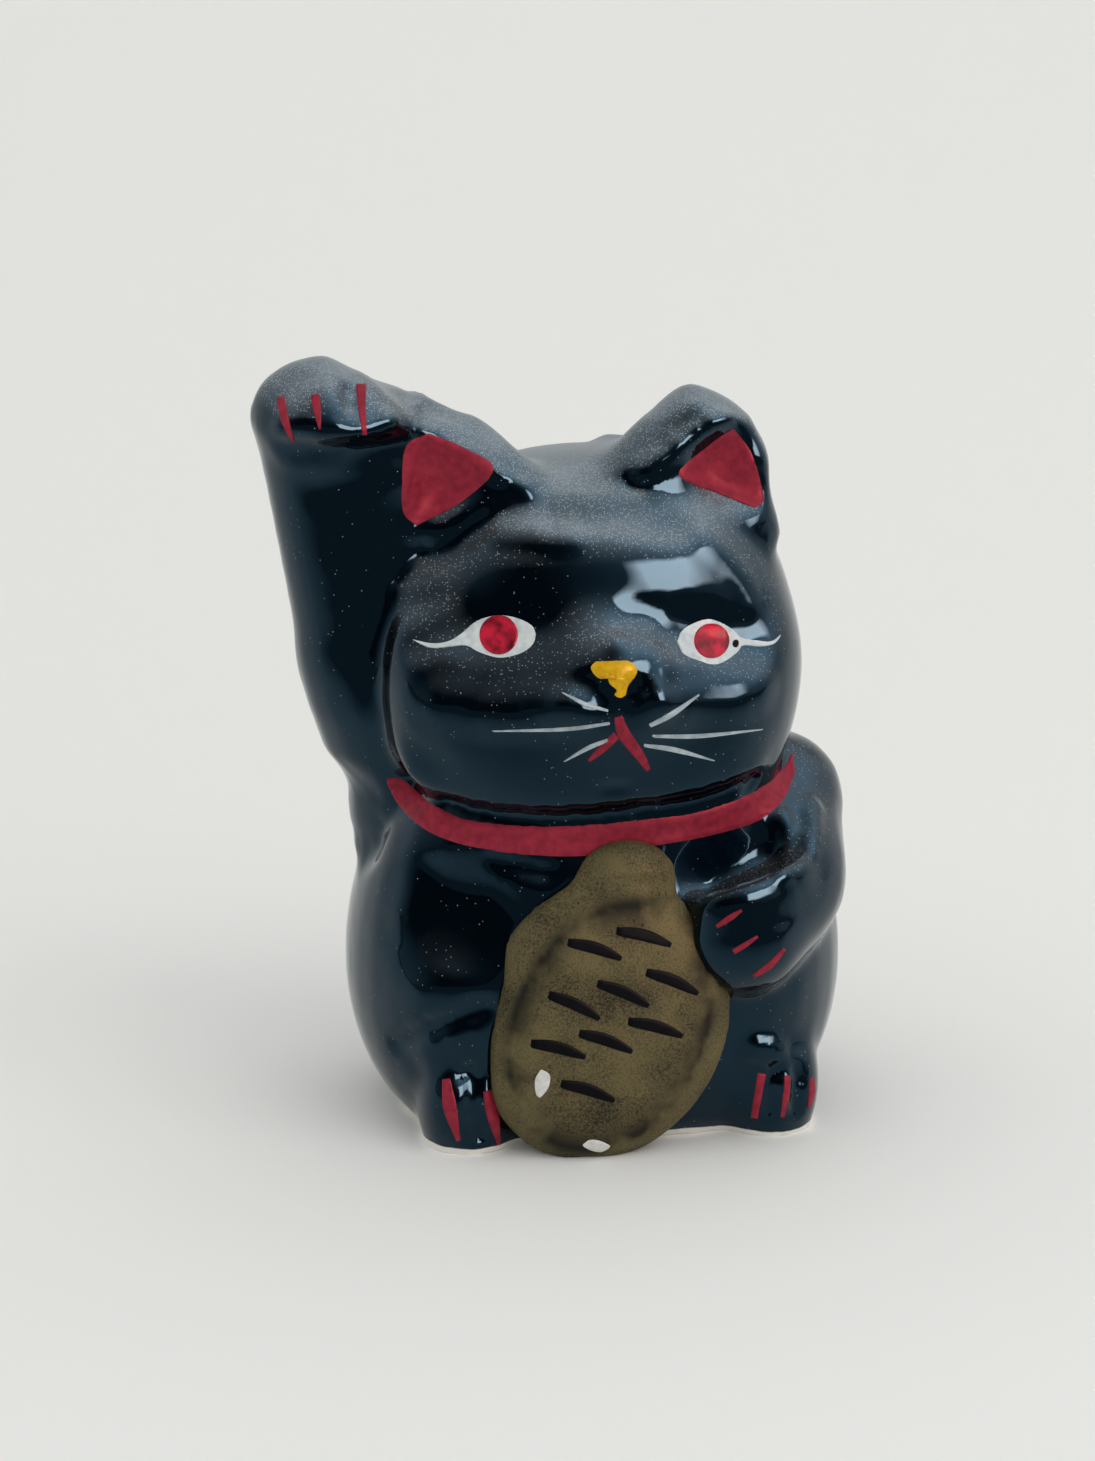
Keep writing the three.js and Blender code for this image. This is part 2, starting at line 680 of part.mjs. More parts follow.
addClaws('raised_paw', raisedArmSkin, raisedPaw, raisedClaws, 0, -90);
addClaws('lowered_paw', loweredArmSkin, loweredPaw, loweredClaws, loweredClawRow, loweredClawAngle);
addClaws('right_hind_paw', hindPawSkins.right, hindPaw(-1), rightHindClaws, 0, -90);
addClaws('left_hind_paw', hindPawSkins.left, hindPaw(1), leftHindClaws, 0, -90);

// The origin lies under the middle of the figurine, on the surface that it stands on
const box = new THREE.Box3().setFromObject(figurine);
const middle = box.getCenter(new THREE.Vector3());
figurine.position.set(-middle.x, -middle.y, -box.min.z);

export default figurine;
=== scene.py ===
import math

import bmesh
import bpy
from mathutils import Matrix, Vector
from mathutils.bvhtree import BVHTree


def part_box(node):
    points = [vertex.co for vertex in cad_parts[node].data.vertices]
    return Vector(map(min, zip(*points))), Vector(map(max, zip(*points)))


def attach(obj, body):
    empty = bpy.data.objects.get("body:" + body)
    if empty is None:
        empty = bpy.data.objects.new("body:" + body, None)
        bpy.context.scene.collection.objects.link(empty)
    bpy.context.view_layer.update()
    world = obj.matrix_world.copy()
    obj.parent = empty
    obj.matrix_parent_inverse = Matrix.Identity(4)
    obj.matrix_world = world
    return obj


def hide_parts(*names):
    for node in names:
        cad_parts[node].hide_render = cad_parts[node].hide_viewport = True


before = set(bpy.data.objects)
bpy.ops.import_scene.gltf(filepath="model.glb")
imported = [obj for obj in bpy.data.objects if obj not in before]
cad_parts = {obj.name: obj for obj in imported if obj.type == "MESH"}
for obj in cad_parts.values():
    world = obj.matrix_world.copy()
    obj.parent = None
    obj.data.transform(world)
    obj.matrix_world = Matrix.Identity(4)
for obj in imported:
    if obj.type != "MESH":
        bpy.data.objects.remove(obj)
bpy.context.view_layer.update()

mm = 0.001
body = "root"  # nothing on the figurine moves
weld = 0.001  # mm, within which a copy's corners are one
softness = 0.5  # share of the way to its neighbours that one pass of smoothing moves a corner
clayCrease = 50  # degrees, past which an edge of clay shows

# the face looks along -Y from the middle of the head, over the middle of the trunk
headLow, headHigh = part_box("head_shell")
torsoLow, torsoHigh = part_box("torso_shell")
middleX = (headLow.x + headHigh.x) / 2
middleY = (torsoLow.y + torsoHigh.y) / 2


def at(x, y, z):
    return Vector((middleX + x * mm, middleY + y * mm, z * mm))


def wayTo(azimuth, elevation):
    turn, rise = math.radians(azimuth), math.radians(elevation)
    return Vector((math.sin(turn) * math.cos(rise), -math.cos(turn) * math.cos(rise), math.sin(rise)))


# camera first, because the brush strokes are laid on along its lines of sight
photo = {
    "size": (1095, 1461),  # pixels
    "aim": (592, 734),  # pixel of the target
    "target": (0, 0, 37),  # mm
    "azimuth": -7,  # degrees
    "elevation": 13,  # degrees
    "distance": 260,  # mm
    "focal": 2640,  # pixels
    "sensor": 36,  # mm along the tall side
    "nearest": 10,  # mm from the lens, where the view starts
}


def addCamera(settings):
    away = wayTo(settings["azimuth"], settings["elevation"])
    target = at(*settings["target"])
    eye = target + away * settings["distance"] * mm
    bpy.ops.object.camera_add(location=eye, rotation=(-away).to_track_quat("-Z", "Y").to_euler())
    camera = bpy.context.object
    wide, tall = settings["size"]
    camera.data.sensor_fit = "VERTICAL"
    camera.data.sensor_height = settings["sensor"]
    camera.data.lens = settings["focal"] / tall * settings["sensor"]
    camera.data.shift_x = (wide / 2 - settings["aim"][0]) / tall
    camera.data.shift_y = (settings["aim"][1] - tall / 2) / tall
    camera.data.clip_start = settings["nearest"] * mm
    bpy.context.scene.camera = camera
    bpy.context.view_layer.update()
    return camera


camera = addCamera(photo)
print("camera placed")


def lineOfSight(pixel):
    across = (pixel[0] - photo["aim"][0]) / photo["focal"]
    up = (photo["aim"][1] - pixel[1]) / photo["focal"]
    return (camera.matrix_world.to_3x3() @ Vector((across, up, -1))).normalized()


# a smooth line through points, in equal steps
def smoothLine(points, steps):
    points = [Vector(p) for p in points]
    ends = [points[0] * 2 - points[1]] + points + [points[-1] * 2 - points[-2]]
    line = []
    for step in range(steps + 1):
        share = step / steps * (len(points) - 1)
        i = min(int(share), len(points) - 2)
        t = share - i
        a, b, c, d = ends[i:i + 4]
        line.append((b * 2 + (c - a) * t + (a * 2 - b * 5 + c * 4 - d) * t ** 2
                     + (b * 3 - a - c * 3 + d) * t ** 3) / 2)
    return line


# small helpers for working on one object at a time
def selectOnly(*pieces):
    if bpy.context.object and bpy.context.object.mode != "OBJECT":
        bpy.ops.object.mode_set(mode="OBJECT")
    bpy.ops.object.select_all(action="DESELECT")
    for piece in pieces:
        piece.select_set(True)
    bpy.context.view_layer.objects.active = pieces[0]


def applyModifier(piece, kind, **settings):
    selectOnly(piece)
    modifier = piece.modifiers.new(kind.title(), kind)
    for setting, value in settings.items():
        setattr(modifier, setting, value)
    bpy.ops.object.modifier_apply(modifier=modifier.name)


def copyOf(node):
    piece = bpy.data.objects.new(node + "_copy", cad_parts[node].data.copy())
    bpy.context.scene.collection.objects.link(piece)
    selectOnly(piece)
    bpy.ops.object.mode_set(mode="EDIT")
    bpy.ops.mesh.select_all(action="SELECT")
    bpy.ops.mesh.remove_doubles(threshold=weld * mm)
    bpy.ops.object.mode_set(mode="OBJECT")
    piece.data.materials.clear()
    return piece


def surfaceOf(*pieces):
    mesh = bmesh.new()
    for piece in pieces:
        mesh.from_mesh(piece.data)
    tree = BVHTree.FromBMesh(mesh)
    mesh.free()
    return tree


# colours are written as sRGB hex
def linear(hexCode):
    channels = [int(hexCode[i:i + 2], 16) / 255 for i in (1, 3, 5)]
    return [c / 12.92 if c <= 0.04045 else ((c + 0.055) / 1.055) ** 2.4 for c in channels] + [1]


# a mix node's sockets for colours: the two that go in, and what comes out
colorA, colorB, colorOut = 6, 7, 2


def addNode(tree, kind, inputs=None, **settings):
    node = tree.nodes.new(kind)
    for setting, value in settings.items():
        setattr(node, setting, value)
    for socket, value in (inputs or {}).items():
        if isinstance(value, bpy.types.NodeSocket):
            tree.links.new(value, node.inputs[socket])
        else:
            node.inputs[socket].default_value = value
    return node


def perMm(size):
    return 1 / (size * mm)  # texture scale for a feature of that many millimetres


def newMaterial(name):
    material = bpy.data.materials.new(name)
    material.use_nodes = True
    shader = material.node_tree.nodes["Principled BSDF"]
    return material, material.node_tree, shader


# glazed earthenware: poured black glaze that mirrors the room with a blue cast, greyed by dust on top
glazeLook = {
    "glaze": "#02060a",
    "mirror": "#90d4ff",
    "dust": "#a1abb1",
    "bisque": "#e4e0d6",
    "rough": 0.035,  # where it is clean
    "dull": 0.8,  # roughness of dust and bare clay
    "ior": 1.53,
    "wave": 7,  # mm
    "waveHeight": 0.03,  # mm
    "speck": 0.15,  # mm
    "speckEdge": (0.5, 0.2),  # of a grain's cell, from its rim to its full middle
    "speckShow": 0.6,  # how much of the glaze a grain hides
    "stray": 0.006,  # share of the grains that cling anywhere
    "loose": 0.8,  # share of the grains that lie where dust is thickest
    "cloud": 5,  # mm
    "cloudSpan": (0.3, 0.7),  # of the noise
    "drift": (0.75, 1.15),  # how far the clouds thin and thicken the dust
    "film": 0.42,  # share of the dust that lies as an even film
    "facing": (0.3, 0.85),  # how far a face looks up, from no dust to the most
    "dustLow": 42,  # mm above the base, where dust starts to lie
    "dustHigh": 60,  # mm, where it lies thickest
    "dustLeast": 0.15,  # share that lies further down
    "bareRim": 0.85,  # mm of unglazed foot
    "bareEdge": (0.3, 0.15),  # of the rim, from glazed to bare
}


def makeGlaze(look):
    material, tree, shader = newMaterial("blackGlazedEarthenware")
    place = addNode(tree, "ShaderNodeTexCoord").outputs["Object"]
    height = addNode(tree, "ShaderNodeSeparateXYZ", {"Vector": place}).outputs["Z"]
    facing = addNode(tree, "ShaderNodeNewGeometry").outputs["Normal"]
    up = addNode(tree, "ShaderNodeSeparateXYZ", {"Vector": facing}).outputs["Z"]
    cloud = addNode(tree, "ShaderNodeTexNoise", {
        "Vector": place, "Scale": perMm(look["cloud"]), "Detail": 3}).outputs["Fac"]
    grain = addNode(tree, "ShaderNodeTexVoronoi", {"Vector": place, "Scale": perMm(look["speck"])})
    chance = addNode(tree, "ShaderNodeSeparateColor", {"Color": grain.outputs["Color"]}).outputs["Red"]
    # dust lies on what faces up, and thicker towards the top of the cat
    level = addNode(tree, "ShaderNodeMapRange", {
        "Value": up, "From Min": look["facing"][0], "From Max": look["facing"][1]})
    shelf = addNode(tree, "ShaderNodeMapRange", {
        "Value": height, "From Min": look["dustLow"] * mm, "From Max": look["dustHigh"] * mm,
        "To Min": look["dustLeast"]})
    cover = addNode(tree, "ShaderNodeMath", {
        0: level.outputs[0], 1: shelf.outputs[0]}, operation="MULTIPLY")
    drift = addNode(tree, "ShaderNodeMapRange", {
        "Value": cloud, "From Min": look["cloudSpan"][0], "From Max": look["cloudSpan"][1],
        "To Min": look["drift"][0], "To Max": look["drift"][1]})
    lying = addNode(tree, "ShaderNodeMath", {
        0: cover.outputs[0], 1: drift.outputs[0]}, operation="MULTIPLY")
    many = addNode(tree, "ShaderNodeMath", {
        0: lying.outputs[0], 1: look["loose"], 2: look["stray"]}, operation="MULTIPLY_ADD")
    there = addNode(tree, "ShaderNodeMath", {0: chance, 1: many.outputs[0]}, operation="LESS_THAN")
    dot = addNode(tree, "ShaderNodeMapRange", {
        "Value": grain.outputs["Distance"],
        "From Min": look["speckEdge"][0], "From Max": look["speckEdge"][1], "To Max": look["speckShow"]})
    loose = addNode(tree, "ShaderNodeMath", {
        0: there.outputs[0], 1: dot.outputs[0]}, operation="MULTIPLY")
    dust = addNode(
        tree, "ShaderNodeMath", {0: lying.outputs[0], 1: look["film"], 2: loose.outputs[0]},
        operation="MULTIPLY_ADD", use_clamp=True)
    # the foot was wiped clean of glaze
    rim = look["bareRim"] * mm
    ragged = addNode(tree, "ShaderNodeMath", {0: cloud, 1: rim}, operation="MULTIPLY")
    foot = addNode(tree, "ShaderNodeMath", {0: height, 1: ragged.outputs[0]}, operation="SUBTRACT")
    bare = addNode(tree, "ShaderNodeMapRange", {
        "Value": foot.outputs[0],
        "From Min": look["bareEdge"][0] * rim, "From Max": look["bareEdge"][1] * rim})
    dusted = addNode(tree, "ShaderNodeMix", {
        "Factor": dust.outputs[0], colorA: linear(look["glaze"]), colorB: linear(look["dust"])},
        data_type="RGBA")
    color = addNode(tree, "ShaderNodeMix", {
        "Factor": bare.outputs[0], colorA: dusted.outputs[colorOut], colorB: linear(look["bisque"])},
        data_type="RGBA")
    dull = addNode(tree, "ShaderNodeMath", {0: dust.outputs[0], 1: bare.outputs[0]}, operation="MAXIMUM")
    rough = addNode(tree, "ShaderNodeMapRange", {
        "Value": dull.outputs[0], "To Min": look["rough"], "To Max": look["dull"]})
    wave = addNode(tree, "ShaderNodeTexNoise", {"Vector": place, "Scale": perMm(look["wave"]), "Detail": 1})
    bump = addNode(tree, "ShaderNodeBump", {
        "Height": wave.outputs["Fac"], "Strength": 1, "Distance": look["waveHeight"] * mm})
    tree.links.new(color.outputs[colorOut], shader.inputs["Base Color"])
    tree.links.new(rough.outputs[0], shader.inputs["Roughness"])
    tree.links.new(bump.outputs[0], shader.inputs["Normal"])
    shader.inputs["IOR"].default_value = look["ior"]
    shader.inputs["Specular Tint"].default_value = linear(look["mirror"])
    return material


# brushed enamel: fired on over the glaze, half glossy, thinner and darker where the brush lifts
brushwork = {"span": (0.35, 0.7), "ridge": 0.02}  # of the noise, from full to thin, and mm high
enamelLooks = {
    "redEnamel": {"color": "#95293a", "thin": "#7b1f2f", "streak": 0.8, "rough": 0.4, "sheen": 0.1},
    "redIrisEnamel": {"color": "#c51838", "thin": "#520814", "streak": 1.1, "rough": 0.3, "sheen": 0.2},
    "whiteEnamel": {"color": "#d2d7d6", "thin": "#b0b8bb", "streak": 0.9, "rough": 0.35, "sheen": 0.2},
    "thinWhiteEnamel": {"color": "#b0bbc0", "thin": "#86949c", "streak": 0.9, "rough": 0.35, "sheen": 0.2},
    "yellowEnamel": {"color": "#d8a812", "thin": "#be8c0a", "streak": 0.7, "rough": 0.25, "sheen": 0.2},
    "blackBrushInk": {"color": "#06080b", "thin": "#0c0e12", "streak": 1.4, "rough": 0.5, "sheen": 0.05},
    "chippedBisque": {"color": "#dcdcd7", "thin": "#c4c4bd", "streak": 0.6, "rough": 0.8, "sheen": 0.2},
}  # streaks in mm


def makeEnamel(name, look):
    material, tree, shader = newMaterial(name)
    place = addNode(tree, "ShaderNodeTexCoord").outputs["Object"]
    pool = addNode(tree, "ShaderNodeTexNoise", {
        "Vector": place, "Scale": perMm(look["streak"]), "Detail": 4}).outputs["Fac"]
    spread = addNode(tree, "ShaderNodeMapRange", {
        "Value": pool, "From Min": brushwork["span"][0], "From Max": brushwork["span"][1]})
    mixed = addNode(tree, "ShaderNodeMix", {
        "Factor": spread.outputs[0], colorA: linear(look["color"]), colorB: linear(look["thin"])},
        data_type="RGBA")
    bump = addNode(tree, "ShaderNodeBump", {
        "Height": pool, "Strength": 1, "Distance": brushwork["ridge"] * mm})
    tree.links.new(mixed.outputs[colorOut], shader.inputs["Base Color"])
    tree.links.new(bump.outputs[0], shader.inputs["Normal"])
    shader.inputs["Roughness"].default_value = look["rough"]
    shader.inputs["Specular IOR Level"].default_value = look["sheen"]
    return material


# bronze-gold paint: matt flake pigment with dark stain rubbed into it, and painted shade in the groove
# inside the rim
goldLook = {
    "gold": "#645c40",
    # dark colour used both for the rubbed stain and for the painted shade in the groove
    "stain": "#26251f",
    "grain": 0.2,  # mm
    "ridge": 0.05,  # mm high
    "smudge": 5,  # mm
    "stained": (0.85, 1.3),  # of smudge and grain together, from gold to stain
    "plaque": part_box("coin_plaque"),
    "lean": 20,  # degrees
    "half": (10.5, 14.5),  # mm, across and along the plaque
    "grooveIn": (0.6, 0.84),  # of the way to the rim, where the painted groove shade starts
    "grooveOut": (0.98, 0.86),  # where it ends
    "patches": (0.38, 0.56),  # of the smudges, from none of the painted groove shade to all of it
    "rough": 0.6,
    "metal": 0.15,
    "sheen": 0.06,
}


def makeGold(look):
    material, tree, shader = newMaterial("bronzeGoldPaint")
    place = addNode(tree, "ShaderNodeTexCoord").outputs["Object"]
    smudge = addNode(tree, "ShaderNodeTexNoise", {
        "Vector": place, "Scale": perMm(look["smudge"]), "Detail": 6}).outputs["Fac"]
    grain = addNode(tree, "ShaderNodeTexNoise", {
        "Vector": place, "Scale": perMm(look["grain"]), "Detail": 2}).outputs["Fac"]
    blend = addNode(tree, "ShaderNodeMath", {0: smudge, 1: grain}, operation="ADD")
    spread = addNode(tree, "ShaderNodeMapRange", {
        "Value": blend.outputs[0], "From Min": look["stained"][0], "From Max": look["stained"][1]})
    # painted shade: the groove inside the rim made darker, in patches of the smudges
    lean = math.radians(look["lean"])
    low, high = look["plaque"]
    away = addNode(tree, "ShaderNodeVectorMath", {0: place, 1: (low + high) / 2}, operation="SUBTRACT")
    wide, tall = (half * mm for half in look["half"])
    right = Vector((math.cos(lean), 0, -math.sin(lean))) / wide
    top = Vector((math.sin(lean), 0, math.cos(lean))) / tall
    across, along = (
        addNode(tree, "ShaderNodeVectorMath", {0: away.outputs[0], 1: side}, operation="DOT_PRODUCT")
        for side in (right, top))
    spot = addNode(tree, "ShaderNodeCombineXYZ", {0: across.outputs["Value"], 1: along.outputs["Value"]})
    ring = addNode(tree, "ShaderNodeVectorMath", {0: spot.outputs[0]}, operation="LENGTH").outputs["Value"]
    inner = addNode(tree, "ShaderNodeMapRange", {
        "Value": ring, "From Min": look["grooveIn"][0], "From Max": look["grooveIn"][1]})
    outer = addNode(tree, "ShaderNodeMapRange", {
        "Value": ring, "From Min": look["grooveOut"][0], "From Max": look["grooveOut"][1]})
    groove = addNode(tree, "ShaderNodeMath", {
        0: inner.outputs[0], 1: outer.outputs[0]}, operation="MULTIPLY")
    patchy = addNode(tree, "ShaderNodeMapRange", {
        "Value": smudge, "From Min": look["patches"][0], "From Max": look["patches"][1]})
    grooveShade = addNode(tree, "ShaderNodeMath", {
        0: groove.outputs[0], 1: patchy.outputs[0]}, operation="MULTIPLY")
    # gold darkened by the rubbed stain and by the painted groove shade together
    stained = addNode(tree, "ShaderNodeMath", {
        0: spread.outputs[0], 1: grooveShade.outputs[0]}, operation="MAXIMUM")
    mixed = addNode(tree, "ShaderNodeMix", {
        "Factor": stained.outputs[0], colorA: linear(look["gold"]), colorB: linear(look["stain"])},
        data_type="RGBA")
    bump = addNode(tree, "ShaderNodeBump", {"Height": grain, "Strength": 1, "Distance": look["ridge"] * mm})
    tree.links.new(mixed.outputs[colorOut], shader.inputs["Base Color"])
    tree.links.new(bump.outputs[0], shader.inputs["Normal"])
    shader.inputs["Roughness"].default_value = look["rough"]
    shader.inputs["Metallic"].default_value = look["metal"]
    shader.inputs["Specular IOR Level"].default_value = look["sheen"]
    return material


glaze = makeGlaze(glazeLook)
enamel = {name: makeEnamel(name, look) for name, look in enamelLooks.items()}
goldPaint = makeGold(goldLook)
print("materials made")

# the casting: the members' copies pressed together like clay, then smoothed over
casting = {
    "shells": ["head_shell", "torso_shell"],
    "members": ["right_ear", "left_ear", "raised_right_arm", "lowered_left_arm",
                "right_hind_paw", "left_hind_paw", "tail"],
    "swell": 0.35,  # mm, closes the slip joints and makes up for the smoothing
    "foot": 4,  # mm, clay below the base that is sliced off at the end
    "voxel": 0.5,  # mm
    "smoothing": 34,  # passes
    "ground": 0.05,  # mm, how near the base a face of the foot lies
    "down": -0.9,  # how far it looks down
    "vent": 3.5,  # mm radius
    "ventDepth": 9,  # mm
    "ventSides": 48,
}

# clay pulled about on the head before it is pressed on: the box that is taken hold of, pull and reach in mm
headPulls = {
    "jaw": ((-30, -40, 0), (30, -8, 36.5), (0, -0.4, -3), 6),
    "rightCheek": ((-25, -14, 36), (-16, -7, 55), (-2.2, -1.2, 0), 5),
}

# the same for the whole casting, once it is pressed together
outlinePulls = {
    "pawBack": ((-23, -20, 70), (-16, 20, 77), (0, 0, -1), 3),
    "elbow": ((-31, -20, 36), (-26, 10, 40), (0.9, 0, 0), 8),
    "armpit": ((-31, -20, 28.5), (-23.5, 10, 32.5), (1.6, 0, 0), 5),
    "pawToEar": ((-16.9, -10, 67), (-15.4, 3, 69.9), (0, 0, 1.1), 2.2),
    "leftEarFoot": ((1.8, -8, 64), (3.6, 6, 67.5), (0, 0, 0.8), 2.2),
    "leftEarSlope": ((5, -10, 67.4), (7.8, -4, 71.5), (0, 0, 1.0), 5),
    "leftEarTop": ((11, -10, 68), (15.5, -6, 72), (-0.6, 0, -0.3), 4),
}

# boxes in mm where the joints are wiped over with a wet finger, and how often
wipes = {
    "leftEarFoot": ((-2, -10.5, 64.5), (5.5, 2, 71), 50),
    "leftEarTop": ((4, -9.5, 69), (15, 0, 74), 25),
    "rightEarTip": ((-17.5, -9, 66), (-12, 4, 70), 12),
}


def closeShell(piece):
    # takes out the faces that look inwards, so that only the outside is pressed together
    selectOnly(piece)
    low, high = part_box(piece.name.replace("_copy", ""))
    centre = (low + high) / 2
    bpy.ops.object.mode_set(mode="EDIT")
    mesh = bmesh.from_edit_mesh(piece.data)
    for face in mesh.faces:
        face.select_set(face.normal.dot(face.calc_center_median() - centre) < 0)
    bmesh.update_edit_mesh(piece.data)
    bpy.ops.mesh.delete(type="FACE")
    bpy.ops.mesh.select_all(action="SELECT")
    bpy.ops.mesh.fill_holes(sides=0)
    bpy.ops.object.mode_set(mode="OBJECT")


def selectBox(piece, low, high):
    bpy.ops.mesh.select_all(action="DESELECT")
    mesh = bmesh.from_edit_mesh(piece.data)
    near, far = at(*low), at(*high)
    for corner in mesh.verts:
        corner.select_set(all(near[i] <= corner.co[i] <= far[i] for i in range(3)))
    bmesh.update_edit_mesh(piece.data)


def pullClay(piece, pulls):
    selectOnly(piece)
    bpy.ops.object.mode_set(mode="EDIT")
    bpy.ops.mesh.select_mode(type="VERT")
    for low, high, pull, reach in pulls.values():
        selectBox(piece, low, high)
        bpy.ops.transform.translate(
            value=Vector(pull) * mm, use_proportional_edit=True,
            proportional_edit_falloff="SMOOTH", proportional_size=reach * mm)
    bpy.ops.object.mode_set(mode="OBJECT")


def wipeClay(piece, places):
    selectOnly(piece)
    bpy.ops.object.mode_set(mode="EDIT")
    bpy.ops.mesh.select_mode(type="VERT")
    for low, high, times in places.values():
        selectBox(piece, low, high)
        bpy.ops.mesh.vertices_smooth(factor=softness, repeat=times)
    bpy.ops.object.mode_set(mode="OBJECT")


def addFoot(piece, settings):
    selectOnly(piece)
    bpy.ops.object.mode_set(mode="EDIT")
    bpy.ops.mesh.select_mode(type="FACE")
    mesh = bmesh.from_edit_mesh(piece.data)
    for face in mesh.faces:
        low = face.calc_center_median().z < settings["ground"] * mm
        face.select_set(low and face.normal.z < settings["down"])
    grounded = any(face.select for face in mesh.faces)
    bmesh.update_edit_mesh(piece.data)
    if grounded:
        drop = (0, 0, -settings["foot"] * mm)
        bpy.ops.mesh.extrude_region_move(TRANSFORM_OT_translate={"value": drop})
    bpy.ops.object.mode_set(mode="OBJECT")


def pressTogether(lumps, name, settings):
    for lump in lumps:
        applyModifier(lump, "DISPLACE", strength=settings["swell"] * mm, mid_level=0)
    selectOnly(*lumps)
    bpy.ops.object.join()
    piece = bpy.context.object
    piece.name = piece.data.name = name
    piece.data.remesh_voxel_size = settings["voxel"] * mm
    bpy.ops.object.voxel_remesh()
    applyModifier(piece, "SMOOTH", factor=softness, iterations=settings["smoothing"])
    return piece


def makeCasting(settings):
    shells = [copyOf(node) for node in settings["shells"]]
    for shell in shells:
        closeShell(shell)
    pullClay(shells[0], headPulls)
    lumps = shells + [copyOf(node) for node in settings["members"]]
    for lump in lumps:
        addFoot(lump, settings)
    piece = pressTogether(lumps, "glazed_casting", settings)
    pullClay(piece, outlinePulls)
    wipeClay(piece, wipes)
    return piece


# relief pulled out of the clay or pressed into it: a line of photo pixels, mm out of the surface, mm around
modelling = {"steps": 48, "polish": 2}  # holds along a line, and passes of smoothing afterwards
relief = {
    "pawBrow": ([(282, 428), (335, 434), (400, 428)], 0.4, 1.8),
    "underPaw": ([(288, 450), (335, 454), (392, 448)], -0.6, 2.6),
    "pawShoulder": ([(386, 376), (405, 391)], -0.8, 3.6),
    "rightEarBack": ([(440, 416), (474, 430)], -0.7, 4),
    "pawCrown": ([(270, 400), (290, 378)], -0.6, 4),
    "pawNotch": ([(349, 390), (352, 402)], -0.6, 1.4),
    "pawHeel": ([(385, 417), (390, 422)], 0.5, 1.6),
    "wristCrease": ([(322, 488), (357, 474), (396, 455)], -0.4, 3),
    "rightEarPocket": ([(425, 460), (448, 468), (428, 495)], -0.6, 4),
    "rightEarRim": ([(417, 430), (461, 451), (506, 478)], 0.5, 1.1),
    "rightEarSill": ([(418, 535), (450, 522), (482, 506)], 0.35, 1.8),
    "leftEarPocket": ([(735, 452), (712, 474), (745, 488)], -1.2, 3.4),
    "leftEarRim": ([(640, 474), (690, 438), (726, 416)], 0.7, 1.6),
    "leftEarSill": ([(650, 486), (700, 494), (752, 519)], 0.2, 2),
    "crownLump": ([(524, 486), (528, 490)], 0.4, 1.5),
    "crownDimple": ([(630, 483), (634, 486)], -0.4, 1.3),
    "crownDent": ([(560, 515), (612, 514), (668, 522)], -0.6, 3),
    "brow": ([(500, 530), (545, 534), (572, 537)], 0.3, 2.2),
    "leftSocket": ([(644, 622), (692, 632), (748, 642)], -0.7, 3.8),
    "leftTemple": ([(706, 538), (736, 566), (752, 600)], 0.25, 2.2),
    "noseBump": ([(615, 640), (616, 645)], 0.5, 1.8),
    "noseWing": ([(643, 632), (654, 650), (660, 668)], 0.35, 2.2),
    "underNose": ([(585, 688), (596, 696)], -0.5, 2),
    "underNoseLeft": ([(634, 688), (638, 698)], -0.5, 1.8),
    "rightPad": ([(572, 702), (580, 708)], 0.5, 2.6),
    "leftPad": ([(655, 696), (664, 706)], 0.6, 2.4),
    "rightCheek": ([(440, 706), (500, 714), (548, 712)], 0.7, 3.4),
    "leftCheek": ([(690, 706), (730, 704), (762, 690)], 0.4, 3.2),
    "chinDent": ([(608, 787), (623, 787)], -0.25, 1.2),
    "underChin": ([(448, 808), (485, 817), (533, 821), (594, 819),
                   (644, 813), (690, 807), (726, 797), (750, 786)], -1, 2),
    "chestCrease": ([(492, 860), (520, 868), (546, 871)], -0.4, 1.4),
    "armpit": ([(415, 905), (450, 915), (480, 925)], 0.6, 4.5),
    "kneeFold": ([(395, 1046), (430, 1028), (482, 1008)], -0.6, 1.6),
    "rightInstep": ([(432, 1056), (458, 1048), (480, 1044)], 0.5, 3),
    "rightToe": ([(470, 1072), (473, 1100), (480, 1135)], -0.9, 1.5),
    "leftToes": ([(773, 1066), (771, 1112)], -0.6, 1.2),
    "leftToesOuter": ([(800, 1072), (797, 1108)], -0.6, 1.2),
    "leftInstep": ([(756, 1048), (772, 1050)], 1, 2.4),
    "chestHollow": ([(710, 868), (742, 856), (764, 846)], -3, 4.5),
    "knuckles": ([(715, 898), (752, 888), (788, 868)], 1.5, 4),
    "knuckle": ([(777, 873), (780, 877)], 0.7, 1.8),
    "elbowFold": ([(783, 815), (783, 850)], 0.4, 1.5),
    "elbowFoldOuter": ([(814, 805), (812, 850)], 0.4, 1.6),
    "betweenFolds": ([(798, 815), (798, 850)], -0.4, 1.6),
}


def modelRelief(piece, moves):
    surface = surfaceOf(piece)
    corners = [list(face.vertices) for face in piece.data.polygons]
    selectOnly(piece)
    bpy.ops.object.mode_set(mode="EDIT")
    bpy.ops.mesh.select_mode(type="VERT")
    for line, push, reach in moves.values():
        bpy.ops.mesh.select_all(action="DESELECT")
        mesh = bmesh.from_edit_mesh(piece.data)
        mesh.verts.ensure_lookup_table()
        out = Vector()
        for pixel in smoothLine(line, modelling["steps"]):
            place, normal, face, _ = surface.ray_cast(camera.location, lineOfSight(pixel))
            around = [mesh.verts[i] for i in corners[face]]
            nearest = min(around, key=lambda corner: (corner.co - place).length)
            nearest.select_set(True)
            out += normal
        bmesh.update_edit_mesh(piece.data)
        bpy.ops.transform.translate(
            value=out.normalized() * push * mm, use_proportional_edit=True,
            proportional_edit_falloff="SMOOTH", proportional_size=reach * mm)
    bpy.ops.object.mode_set(mode="OBJECT")
    applyModifier(piece, "SMOOTH", factor=softness, iterations=modelling["polish"])


